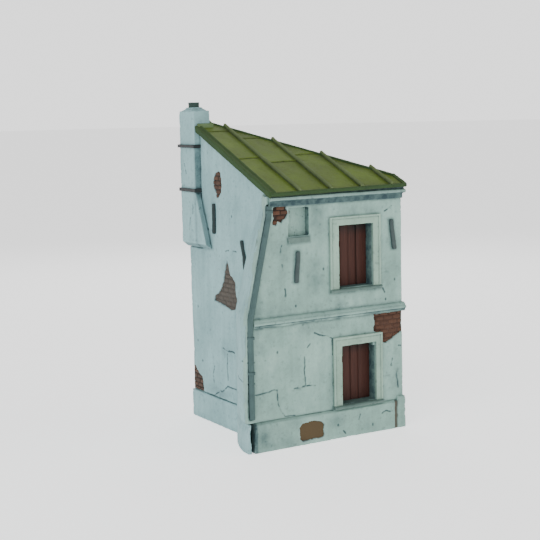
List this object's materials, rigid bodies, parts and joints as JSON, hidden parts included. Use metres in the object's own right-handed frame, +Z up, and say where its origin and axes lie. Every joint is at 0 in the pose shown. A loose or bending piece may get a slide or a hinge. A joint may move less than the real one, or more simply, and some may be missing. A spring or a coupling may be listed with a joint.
{
  "type": "miniature corner house",
  "caption": "Two-storey rendered corner house for tabletop games, with a gable chimney, downpipe, closed shutters and a sheet-metal roof that lifts off.",
  "frame": {"origin": "middle of the bounding box, at the level of the table", "axes": "+X along the facade towards its right end, +Y from the facade to the rear, +Z up"},
  "size_m": [0.0738, 0.0712, 0.1309],
  "materials": {
    "render": "cast resin painted as pale blue-grey lime render, grey-green wash in the recesses",
    "mouldings": "cast resin painted a shade darker than the render, heavier wash",
    "stonework": "cast resin painted as rendered stone",
    "roof_sheet": "cast resin painted as weathered olive-green sheet metal",
    "roof_trim": "cast resin painted dark grey-green",
    "brick": "cast resin painted as exposed brown brick",
    "planks": "cast resin painted as dark red-brown boards",
    "ironwork": "painted dark blue-grey iron",
    "pipe": "painted grey-green zinc pipe",
    "pot": "painted dark grey clay pot"
  },
  "bodies": {
    "house": {"back_wall": "render", "blind_window_panel": "stonework", "blind_window_sill": "mouldings", "brick_patch_facade_corner": "brick", "brick_patch_facade_right": "brick", "brick_patch_gable_foot": "brick", "brick_patch_gable_middle": "brick", "brick_patch_gable_top": "brick", "cellar_vent_panel": "brick", "chimney_corbel": "render", "chimney_flaunching": "stonework", "chimney_pot": "pot", "chimney_stack": "render", "chimney_strap_lower": "ironwork", "chimney_strap_upper": "ironwork", "corner_buttress": "render", "cornice": "mouldings", "downpipe": "pipe", "front_wall": "render", "left_wall": "render", "lower_shutter_plank_1": "planks", "lower_shutter_plank_2": "planks", "lower_shutter_plank_3": "planks", "lower_shutter_plank_4": "planks", "lower_window_sill": "mouldings", "lower_window_surround": "mouldings", "pipe_collar_bottom": "pipe", "pipe_collar_middle": "pipe", "pipe_collar_top": "pipe", "plinth_back": "stonework", "plinth_corner": "stonework", "plinth_front": "stonework", "plinth_left": "stonework", "string_course": "mouldings", "upper_shutter_plank_1": "planks", "upper_shutter_plank_2": "planks", "upper_shutter_plank_3": "planks", "upper_shutter_plank_4": "planks", "upper_window_sill": "mouldings", "upper_window_surround": "mouldings", "wall_anchor_front_left": "ironwork", "wall_anchor_front_right": "ironwork", "wall_anchor_gable_front": "ironwork", "wall_anchor_gable_rear": "ironwork"},
    "roof": {"back_edge_trim": "roof_trim", "chimney_flashing": "roof_trim", "eaves_trim": "roof_trim", "roof_batten_front": "roof_trim", "roof_batten_gable": "roof_trim", "roof_batten_rear": "roof_trim", "roof_deck": "roof_sheet", "roof_seam_1": "roof_sheet", "roof_seam_2": "roof_sheet", "roof_seam_3": "roof_sheet", "roof_seam_4": "roof_sheet", "verge_left": "roof_trim", "verge_right": "roof_trim"}
  },
  "joints": [
    {"name": "roof_lift", "type": "slide", "parent": "house", "child": "roof", "axis": [0, 0, 1], "range_m": [0, 0.04]}
  ]
}
